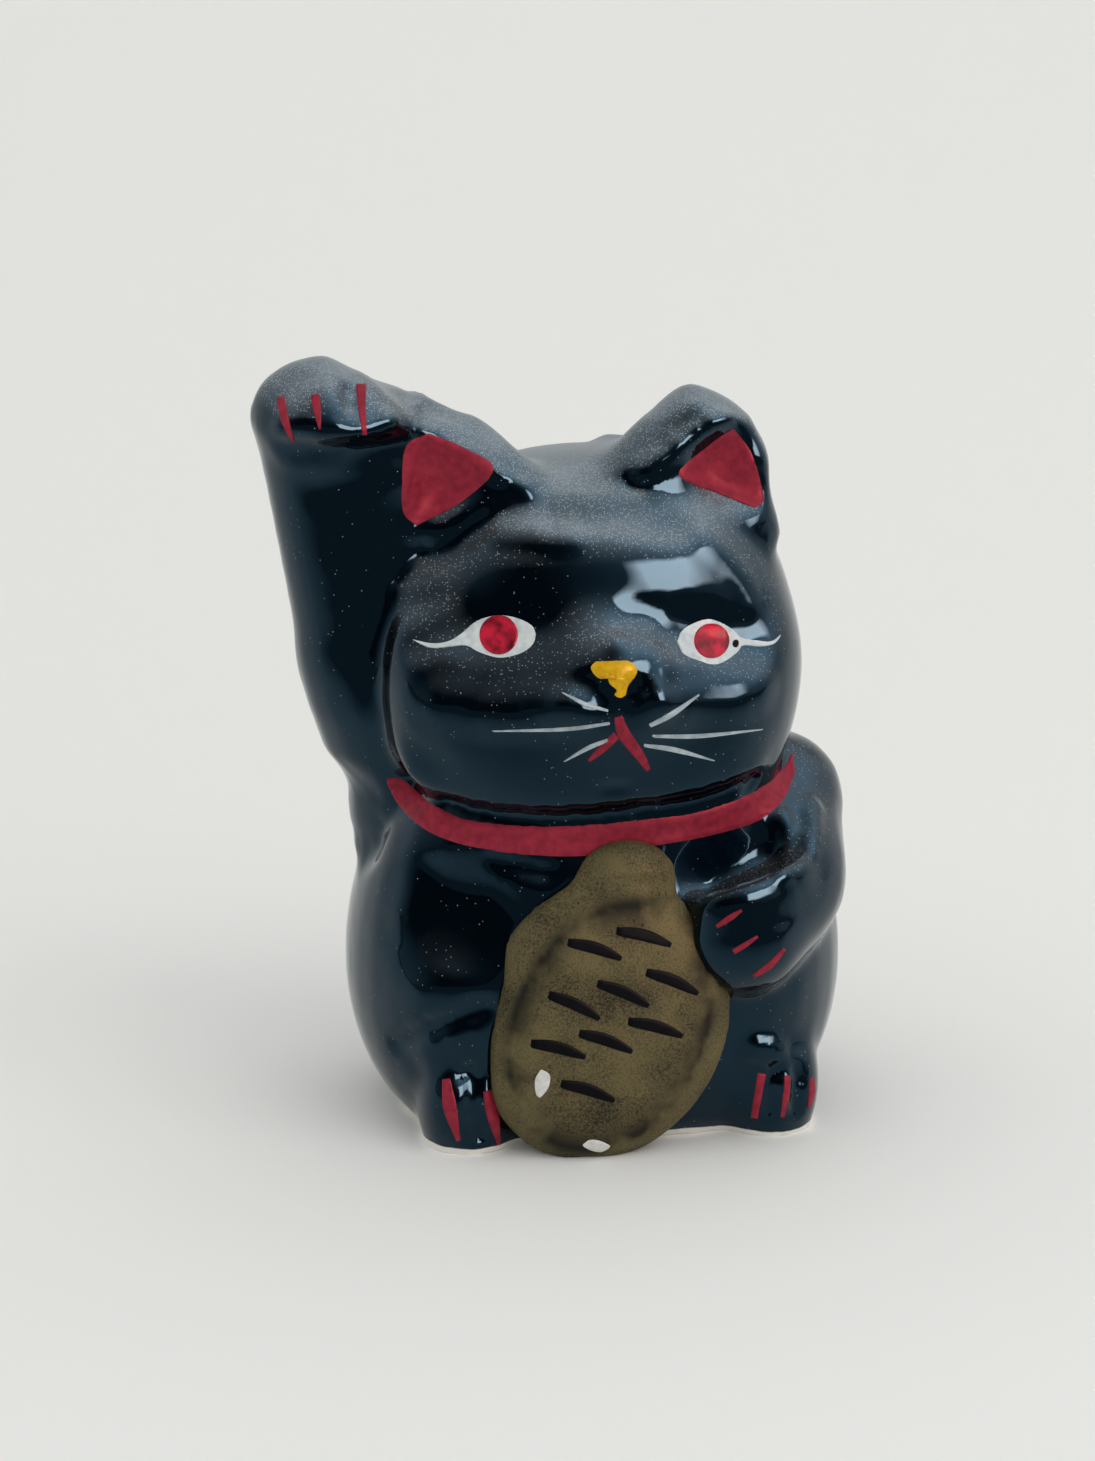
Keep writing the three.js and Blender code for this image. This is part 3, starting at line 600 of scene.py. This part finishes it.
def sliceBase(piece):
    selectOnly(piece)
    bpy.ops.object.mode_set(mode="EDIT")
    bpy.ops.mesh.select_all(action="SELECT")
    bpy.ops.mesh.bisect(plane_co=(0, 0, 0), plane_no=(0, 0, 1), clear_inner=True, use_fill=True)
    bpy.ops.object.mode_set(mode="OBJECT")


def drillVent(piece, settings):
    bpy.ops.mesh.primitive_cylinder_add(
        vertices=settings["ventSides"], radius=settings["vent"] * mm,
        depth=2 * settings["ventDepth"] * mm, location=at(0, 0, 0))
    drill = bpy.context.object
    applyModifier(piece, "BOOLEAN", object=drill, operation="DIFFERENCE", solver="EXACT")
    bpy.data.objects.remove(drill)


def shadeClay(piece):
    selectOnly(piece)
    bpy.ops.object.shade_smooth_by_angle(angle=math.radians(clayCrease))


glazed = makeCasting(casting)
modelRelief(glazed, relief)
sliceBase(glazed)
drillVent(glazed, casting)
shadeClay(glazed)
glazed.data.materials.append(glaze)
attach(glazed, body)
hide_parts(*casting["shells"], *casting["members"])
print("casting pressed:", len(glazed.data.polygons), "faces")

# the coin plaque with its knob, gilded
coin = {
    "nodes": ["coin_plaque", "coin_knob"],
    "swell": 0.4,  # mm
    "voxel": 0.45,  # mm
    "smoothing": 36,  # passes
}
coinPulls = {
    "shoulder": ((-9, -40, 19), (-2, 0, 27), (-0.3, 0, 1.6), 4.5),
    "rightSide": ((-15, -40, 9), (-11, 0, 19), (0.8, 0, 0), 5),
    "leftSide": ((3, -40, 14), (9, 0, 22), (0.6, 0, 0), 4),
}
coinRelief = {
    "leftGroove": ([(562, 912), (536, 958), (518, 1010), (508, 1060), (512, 1100)], -0.35, 1.6),
    "rightGroove": ([(726, 980), (728, 1010), (714, 1044)], -0.3, 1.5),
    "knobCrease": ([(588, 890), (630, 886), (666, 884)], -0.4, 1.4),
}


def makeCoin(settings):
    lumps = [copyOf(node) for node in settings["nodes"]]
    pullClay(lumps[0], coinPulls)
    piece = pressTogether(lumps, "gilded_plaque", settings)
    modelRelief(piece, coinRelief)
    sliceBase(piece)
    shadeClay(piece)
    return piece


plaque = makeCoin(coin)
plaque.data.materials.append(goldPaint)
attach(plaque, body)
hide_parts(*coin["nodes"])
print("plaque made:", len(plaque.data.polygons), "faces")

# enamel is laid on along the camera's lines of sight, so its outlines are pixels of the photograph
glazeSurface = surfaceOf(glazed)
paint = {
    "proud": 0.12,  # mm
    "sunk": 0.08,  # mm, at the rim
    "film": 0.3,  # mm thick
    "crease": 60,  # degrees
}


def layCoat(name, rays, finish, surface, lift=1):
    along, across = len(rays) - 1, len(rays[0]) - 1
    bpy.ops.object.select_all(action="DESELECT")
    bpy.ops.mesh.primitive_grid_add(x_subdivisions=across, y_subdivisions=along, size=2)
    piece = bpy.context.object
    piece.name = piece.data.name = name
    outward = Vector()
    for vertex in piece.data.vertices:
        row, column = round((vertex.co.y + 1) / 2 * along), round((vertex.co.x + 1) / 2 * across)
        start, way = rays[row][column]
        place, normal, _, _ = surface.ray_cast(start, way)
        rim = row in (0, along) or column in (0, across)
        vertex.co = place + normal * (-paint["sunk"] if rim else paint["proud"] * lift) * mm
        outward += normal
    selectOnly(piece)
    bpy.ops.object.mode_set(mode="EDIT")
    mesh = bmesh.from_edit_mesh(piece.data)
    mesh.normal_update()
    bpy.ops.mesh.select_all(action="SELECT")
    if sum(face.normal.dot(outward) * face.calc_area() for face in mesh.faces) < 0:
        bpy.ops.mesh.flip_normals()
    bpy.ops.object.mode_set(mode="OBJECT")
    applyModifier(piece, "SOLIDIFY", thickness=paint["film"] * mm, offset=-1)
    bpy.ops.object.shade_smooth_by_angle(angle=math.radians(paint["crease"]))
    piece.data.materials.append(finish)
    return piece


def layPaint(name, edges, finish, surface=None, along=28, across=8, lift=1):
    left, right = (smoothLine(edge, along) for edge in edges)
    rays = [[(camera.location, lineOfSight(left[row].lerp(right[row], column / across)))
             for column in range(across + 1)] for row in range(along + 1)]
    return layCoat(name, rays, finish, surface or glazeSurface, lift)


def strokeEdges(path, widths, steps=12):
    line = smoothLine(path, steps)
    spread = smoothLine([(width, 0) for width in widths], steps)
    left, right = [], []
    for i, spot in enumerate(line):
        ahead = (line[min(i + 1, steps)] - line[max(i - 1, 0)]).normalized()
        side = Vector((-ahead.y, ahead.x)) * spread[i].x / 2
        left.append(spot - side)
        right.append(spot + side)
    return left, right


def joinPaint(pieces, name):
    selectOnly(*pieces)
    bpy.ops.object.join()
    pieces[0].name = pieces[0].data.name = name
    return pieces[0]


def placePaint(piece, slot, *nodes):
    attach(piece, body)
    if nodes:
        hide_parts(*nodes)


# eyes: whites with a drawn-out outer corner, and mottled red irises
eyes = {
    "right": {
        "upper": [(411, 639), (432, 643), (448, 641), (462, 632), (477, 619), (498, 613), (519, 617),
                  (532, 625), (536, 634)],
        "lower": [(411, 639), (430, 648), (450, 647), (466, 646), (480, 654), (500, 660), (521, 655),
                  (533, 645), (536, 634)],
        "iris": (499, 635),
        "radius": (21, 20),
    },
    "left": {
        "upper": [(781, 634), (771, 641), (757, 640), (742, 637), (731, 627), (711, 617), (692, 622),
                  (681, 631), (677, 642)],
        "lower": [(781, 634), (774, 644), (759, 647), (743, 646), (737, 654), (718, 667), (700, 663),
                  (684, 655), (677, 642)],
        "iris": (711, 641),
        "radius": (19.4, 18),
    },
}
pinhole = {"middle": (735, 644), "radius": (4, 4)}  # in the left white, down to the glaze


def discEdges(middle, radius, steps=10):
    wide, tall = radius
    turns = [math.pi * i / steps for i in range(steps + 1)]
    return [[Vector(middle) + Vector((flip * wide * math.sin(turn), -tall * math.cos(turn)))
             for turn in turns] for flip in (-1, 1)]


for side, eye in eyes.items():
    lids = (eye["upper"], eye["lower"])
    white = layPaint(f"{side}_eye_white_enamel", lids, enamel["whiteEnamel"], along=40)
    placePaint(white, "white_enamel", f"{side}_eye_white")
    disc = discEdges(eye["iris"], eye["radius"])
    iris = layPaint(f"{side}_iris_enamel", disc, enamel["redIrisEnamel"], along=20, across=16, lift=2)
    placePaint(iris, "red_enamel", f"{side}_iris")
hole = discEdges(pinhole["middle"], pinhole["radius"])
spot = layPaint("left_eye_pinhole", hole, enamel["blackBrushInk"], along=8, across=6, lift=2)
placePaint(spot, "black_glaze")

# nose: a dab of yellow that ran down
nose = {
    "left": [(595, 661), (589, 667), (592, 674), (599, 679), (605, 675), (609, 684), (616, 690),
             (614, 695), (620, 698)],
    "right": [(628, 660), (636, 664), (639, 670), (637, 676), (632, 682), (629, 686), (627, 691),
              (626, 695), (620, 698)],
}
dab = layPaint("nose_enamel", (nose["left"], nose["right"]), enamel["yellowEnamel"], along=40, across=10)
placePaint(dab, "yellow_enamel", "nose_patch")

# mouth: two strokes under the nose, the right one shorter and thinner
mouth = {
    "left": ([(618, 716), (624, 734), (640, 756), (649, 771)], [9, 14, 11, 5]),
    "right": ([(617, 735), (603, 748), (588, 761)], [9, 9, 3]),
}
lips = [layPaint(f"mouth_{side}", strokeEdges(*line), enamel["redEnamel"]) for side, line in mouth.items()]
placePaint(joinPaint(lips, "mouth_enamel"), "red_enamel", "mouth")

# whiskers: single strokes, blunt by the mouth
whiskers = {
    "right_upper": ([(609, 711), (585, 704), (561, 692)], [3, 5, 1]),
    "right_middle": ([(611, 723), (565, 729), (490, 731)], [3, 4, 1]),
    "right_lower": ([(610, 739), (588, 748), (563, 762)], [3, 5, 1]),
    "left_upper": ([(649, 726), (672, 714), (700, 694)], [4, 6, 2]),
    "left_middle": ([(651, 736), (700, 736), (765, 729)], [3, 5, 1]),
    "left_lower": ([(643, 745), (675, 750), (716, 761)], [3, 6, 1]),
}
for name, line in whiskers.items():
    hair = layPaint(f"{name}_whisker_enamel", strokeEdges(*line), enamel["thinWhiteEnamel"], across=6)
    placePaint(hair, "white_enamel", f"{name}_whisker")

# ear linings: rounded triangles in the hollows of the ears
linings = {
    "right": ([(428, 433), (405, 446), (400, 480), (402, 512), (416, 526)],
              [(428, 433), (468, 449), (496, 469), (462, 502), (416, 526)]),
    "left": ([(733, 428), (706, 447), (677, 475), (716, 493), (755, 508)],
             [(733, 428), (752, 452), (762, 480), (765, 500), (755, 508)]),
}
for side, edges in linings.items():
    lining = layPaint(f"{side}_ear_lining_enamel", edges, enamel["redEnamel"], across=20)
    placePaint(lining, "red_enamel", f"{side}_ear_lining")

# claws: three strokes to a paw, two where the plaque hides the third
claws = {
    "raised_paw_claw_1": ([(280, 396), (285, 420), (294, 443)], [9, 9, 2]),
    "raised_paw_claw_2": ([(315, 394), (317, 410), (320, 430)], [10, 9, 2]),
    "raised_paw_claw_3": ([(361, 383), (362, 410), (365, 436)], [12, 8, 5]),
    "lowered_paw_claw_1": ([(716, 927), (730, 918), (742, 910)], [4, 7, 3]),
    "lowered_paw_claw_2": ([(733, 952), (745, 945), (758, 936)], [6, 6, 3]),
    "lowered_paw_claw_3": ([(753, 976), (770, 965), (785, 948)], [4, 7, 3]),
    "right_hind_paw_claw_1": ([(446, 1078), (450, 1108), (459, 1142)], [9, 15, 4]),
    "right_hind_paw_claw_2": ([(487, 1090), (493, 1115), (499, 1146)], [10, 14, 3]),
    "left_hind_paw_claw_1": ([(762, 1073), (758, 1095), (754, 1119)], [10, 9, 8]),
    "left_hind_paw_claw_2": ([(787, 1075), (786, 1095), (782, 1118)], [6, 7, 4]),
    "left_hind_paw_claw_3": ([(811, 1077), (812, 1092), (808, 1108)], [4, 7, 2]),
}
for name, line in claws.items():
    claw = layPaint(f"{name}_enamel", strokeEdges(*line), enamel["redEnamel"])
    placePaint(claw, "red_enamel", name)
print("enamel laid on")

# plaque marks: the short hammer strokes of an old oval coin, brushed on in staggered rows, and two chips
marks = {
    "middle": (596, 1008),  # pixel
    "lean": 20,  # degrees
    "rows": 9,
    "rowStep": 27,  # pixels
    "columns": (-1, 0, 1),
    "gap": 84,  # pixels between strokes of a row
    "stagger": 0.25,  # of the gap, to the right in one row and to the left in the next
    "sway": (5, 3),  # turns the row and the column into an uneven hand
    "margin": 1.25,  # of a stroke's way from the middle, which still has to lie on the plaque
    "half": 30,  # pixels, half a stroke's length
    "sag": 3,  # pixels that its ends hang below its middle
    "uneven": 4,  # pixels up or down from the row
    "widths": [9, 14, 13, 5],  # pixels
}
chips = {
    "left": ([(541, 1069), (534, 1080), (535, 1094), (540, 1098)],
             [(541, 1069), (551, 1075), (549, 1088), (540, 1098)]),
    "low": ([(582, 1145), (590, 1139), (600, 1140), (611, 1146)],
            [(582, 1145), (590, 1151), (602, 1153), (611, 1146)]),
}
plaqueSurface = surfaceOf(plaque)


def brushMarks(settings):
    lean = math.radians(settings["lean"])
    down = Vector((-math.sin(lean), math.cos(lean)))
    right = Vector((math.cos(lean), math.sin(lean)))
    middle = Vector(settings["middle"])
    rowSway, columnSway = settings["sway"]
    strokes = []
    for row in range(settings["rows"]):
        along = (row - (settings["rows"] - 1) / 2) * settings["rowStep"]
        stagger = settings["stagger"] if row % 2 else -settings["stagger"]
        for column in settings["columns"]:
            across = (column + stagger) * settings["gap"]
            sway = math.sin(rowSway * row + columnSway * column)
            spot = middle + down * (along + settings["uneven"] * sway) + right * across
            path = [spot + right * settings["half"] * share
                    + down * settings["sag"] * (share ** 2 + sway * share) for share in (-1, 0, 1)]
            edges = strokeEdges(path, settings["widths"])
            wider = [middle + (pixel - middle) * settings["margin"] for pixel in edges[0] + edges[1]]
            if all(plaqueSurface.ray_cast(camera.location, lineOfSight(pixel))[0] for pixel in wider):
                strokes.append(layPaint(f"stroke_{len(strokes)}", edges, enamel["blackBrushInk"],
                                        plaqueSurface, along=14, across=6))
    return strokes


strokes = brushMarks(marks)
placePaint(joinPaint(strokes, "plaque_strokes"), "black_glaze")
for name, edges in chips.items():
    chip = layPaint(f"{name}_chip", edges, enamel["chippedBisque"], plaqueSurface, along=12, across=6)
    placePaint(chip, "white_enamel")
print("plaque marked:", len(strokes), "strokes")

# collar: a painted band, in front by its outline in the photograph and behind as a level ring
collar = {
    "upper": [(386, 778), (402, 778), (418, 791), (436, 805), (470, 819), (533, 825), (594, 823),
              (645, 818), (692, 812), (734, 799), (766, 783), (783, 767), (793, 749)],
    "lower": [(387, 784), (397, 804), (413, 822), (434, 836), (470, 848), (533, 857), (594, 857),
              (650, 848), (692, 841), (734, 831), (763, 820), (784, 800), (796, 772)],
    "rise": 34.8,  # mm, middle of the ring behind
    "width": 2.9,  # mm
    "from": 9,  # degrees from the left side round the back
    "to": 161,  # degrees
    "outside": 60,  # mm from the middle, where the brush comes from
}


def ringRays(settings, along=72, across=6):
    rays = []
    for row in range(along + 1):
        turn = math.radians(settings["from"] + (settings["to"] - settings["from"]) * row / along)
        out = Vector((math.cos(turn), math.sin(turn), 0))
        lowest = settings["rise"] - settings["width"] / 2
        heights = [lowest + settings["width"] * column / across for column in range(across + 1)]
        rays.append([(at(0, 0, height) + out * settings["outside"] * mm, -out) for height in heights])
    return rays


band = (collar["upper"], collar["lower"])
collarFront = layPaint("collar_front_enamel", band, enamel["redEnamel"], along=90, across=8)
placePaint(collarFront, "red_enamel", "collar_front")
collarBack = layCoat("collar_back_enamel", ringRays(collar), enamel["redEnamel"], glazeSurface)
placePaint(collarBack, "red_enamel", "collar_back")
print("collar painted")

# floor that sweeps up behind
stage = {
    "half": 1.2,  # metres
    "back": 0.75,  # metres behind the cat, where the wall stands
    "wall": 1.2,  # metres
    "bend": 0.6,  # metres
    "bendSteps": 24,
    "card": "#f1f1ee",
    "rough": 0.9,
    "sheen": 0.1,
    "shade": "#6a7074",
    "shadeFrom": (-0.03, -0.1),  # metres in front of the cat, from no shade to the full one
}


def selectEdges(piece, chosen):
    bpy.ops.mesh.select_all(action="DESELECT")
    mesh = bmesh.from_edit_mesh(piece.data)
    for edge in mesh.edges:
        edge.select_set(all(chosen(corner.co) for corner in edge.verts))
    bmesh.update_edit_mesh(piece.data)


def addStage(settings):
    half, back = settings["half"], settings["back"]
    bpy.ops.object.select_all(action="DESELECT")
    bpy.ops.mesh.primitive_plane_add(size=2 * half, location=(0, back - half, 0))
    sweep = bpy.context.object
    sweep.name = "pale_floor"
    bpy.ops.object.transform_apply(location=True)
    bpy.ops.object.mode_set(mode="EDIT")
    bpy.ops.mesh.select_mode(type="EDGE")
    selectEdges(sweep, lambda place: place.y > back - mm)
    bpy.ops.mesh.extrude_region_move(TRANSFORM_OT_translate={"value": (0, 0, settings["wall"])})
    selectEdges(sweep, lambda place: abs(place.y - back) < mm and place.z < mm)
    bpy.ops.mesh.bevel(offset=settings["bend"], segments=settings["bendSteps"], affect="EDGES")
    bpy.ops.object.mode_set(mode="OBJECT")
    bpy.ops.object.shade_smooth()
    paper, tree, shader = newMaterial("paleCard")
    shader.inputs["Base Color"].default_value = linear(settings["card"])
    shader.inputs["Roughness"].default_value = settings["rough"]
    shader.inputs["Specular IOR Level"].default_value = settings["sheen"]
    # the table in front lies in shade, which only the glaze mirrors
    place = addNode(tree, "ShaderNodeTexCoord").outputs["Object"]
    near = addNode(tree, "ShaderNodeSeparateXYZ", {"Vector": place}).outputs["Y"]
    shade = addNode(tree, "ShaderNodeMapRange", {
        "Value": near, "From Min": settings["shadeFrom"][0], "From Max": settings["shadeFrom"][1]})
    mirrored = addNode(tree, "ShaderNodeLightPath").outputs["Is Glossy Ray"]
    share = addNode(tree, "ShaderNodeMath", {0: shade.outputs[0], 1: mirrored}, operation="MULTIPLY")
    dim = addNode(tree, "ShaderNodeEmission", {"Color": linear(settings["shade"]), "Strength": 1})
    mixed = addNode(tree, "ShaderNodeMixShader", {
        0: share.outputs[0], 1: shader.outputs[0], 2: dim.outputs[0]})
    tree.links.new(mixed.outputs[0], tree.nodes["Material Output"].inputs["Surface"])
    sweep.data.materials.append(paper)


addStage(stage)

# light: an even pale room, which the glaze mirrors as dark in front with a bright window to the right
lighting = {
    "level": 0.88,
    "pale": "#f6f7f7",
    "dark": "#242c36",
    "wall": "#eceeee",
    "walls": (-0.7, 0.3),  # how far behind the way looks, from dark to pale
    "lamp": 0.9,  # watts
    "lampSize": (0.5, 0.4),  # metres
    "lampAim": 50,  # mm above the base
    "lampWay": (0.55, -0.55, 0.63),
    "lampAway": 0.7,  # metres
    "windowAzimuth": 40,  # degrees
    "windowElevation": 17,  # degrees
    "windowHalf": (25, 11),  # degrees
    "jamb": (-1.05, -0.8),  # of the half width, from dark to bright
    "fade": (0.9, 0.2),  # of the half width
    "sill": (1.1, 0.8),  # of the half height
    "window": 25,
    "windowColor": "#ffc8b4",
    "glowAzimuth": 55,  # degrees
    "glowElevation": 50,  # degrees
    "glow": 2.7,
    "glowFalloff": 5,
}


def addLamp(settings):
    way = Vector(settings["lampWay"]).normalized()
    bpy.ops.object.light_add(
        type="AREA", location=at(0, 0, settings["lampAim"]) + way * settings["lampAway"],
        rotation=way.to_track_quat("Z", "Y").to_euler())
    lamp = bpy.context.object
    lamp.name = "lamp"
    lamp.data.shape = "RECTANGLE"
    lamp.data.size, lamp.data.size_y = settings["lampSize"]
    lamp.data.energy = settings["lamp"]
    lamp.visible_glossy = False


def addRoom(settings):
    world = bpy.data.worlds.new("room")
    bpy.context.scene.world = world
    world.use_nodes = True
    tree = world.node_tree
    background = tree.nodes["Background"]
    way = addNode(tree, "ShaderNodeTexCoord").outputs["Generated"]
    axes = addNode(tree, "ShaderNodeSeparateXYZ", {"Vector": way}).outputs
    # walls: dark in front, pale at the sides and behind
    share = addNode(tree, "ShaderNodeMapRange", {
        "Value": axes["Y"], "From Min": settings["walls"][0], "From Max": settings["walls"][1]})
    dark, pale = linear(settings["dark"]), linear(settings["wall"])
    walls = addNode(tree, "ShaderNodeMix", {
        "Factor": share.outputs[0], colorA: dark, colorB: pale}, data_type="RGBA")
    # window: a bright pane under a wide glow from above
    middle = wayTo(settings["windowAzimuth"], settings["windowElevation"])
    turn = math.radians(settings["windowAzimuth"])
    right = Vector((math.cos(turn), math.sin(turn), 0))
    facing, across, up = (
        addNode(tree, "ShaderNodeVectorMath", {0: way, 1: axis}, operation="DOT_PRODUCT").outputs["Value"]
        for axis in (middle, right, right.cross(-middle)))
    wide, tall = (math.sin(math.radians(half)) for half in settings["windowHalf"])
    jamb = addNode(tree, "ShaderNodeMapRange", {
        "Value": across, "From Min": wide * settings["jamb"][0], "From Max": wide * settings["jamb"][1]})
    fade = addNode(tree, "ShaderNodeMapRange", {
        "Value": across, "From Min": wide * settings["fade"][0], "From Max": wide * settings["fade"][1]})
    height = addNode(tree, "ShaderNodeMath", {0: up}, operation="ABSOLUTE").outputs[0]
    sill = addNode(tree, "ShaderNodeMapRange", {
        "Value": height, "From Min": tall * settings["sill"][0], "From Max": tall * settings["sill"][1]})
    strip = addNode(tree, "ShaderNodeMath", {0: jamb.outputs[0], 1: fade.outputs[0]}, operation="MULTIPLY")
    pane = addNode(tree, "ShaderNodeMath", {0: strip.outputs[0], 1: sill.outputs[0]}, operation="MULTIPLY")
    ahead = addNode(tree, "ShaderNodeMath", {0: facing, 1: 0}, operation="GREATER_THAN")
    lit = addNode(tree, "ShaderNodeMath", {0: pane.outputs[0], 1: ahead.outputs[0]}, operation="MULTIPLY")
    source = wayTo(settings["glowAzimuth"], settings["glowElevation"])
    nearby = addNode(tree, "ShaderNodeVectorMath", {0: way, 1: source}, operation="DOT_PRODUCT")
    lobe = addNode(tree, "ShaderNodeMath", {0: nearby.outputs["Value"], 1: 0}, operation="MAXIMUM")
    glow = addNode(tree, "ShaderNodeMath", {
        0: lobe.outputs[0], 1: settings["glowFalloff"]}, operation="POWER")
    windowColor = Vector(linear(settings["windowColor"])[:3]) * settings["window"]
    hazed = addNode(tree, "ShaderNodeVectorMath", {
        0: glow.outputs[0], 1: [settings["glow"]] * 3, 2: walls.outputs[colorOut]},
        operation="MULTIPLY_ADD")
    mirrored = addNode(tree, "ShaderNodeVectorMath", {
        0: lit.outputs[0], 1: windowColor, 2: hazed.outputs[0]}, operation="MULTIPLY_ADD")
    glossy = addNode(tree, "ShaderNodeLightPath").outputs["Is Glossy Ray"]
    even = linear(settings["pale"])
    mixed = addNode(tree, "ShaderNodeMix", {
        "Factor": glossy, colorA: even, colorB: mirrored.outputs[0]}, data_type="RGBA")
    tree.links.new(mixed.outputs[colorOut], background.inputs["Color"])
    background.inputs["Strength"].default_value = settings["level"]


addLamp(lighting)
addRoom(lighting)
bpy.context.scene.view_settings.view_transform = "Standard"
print("stage lit")
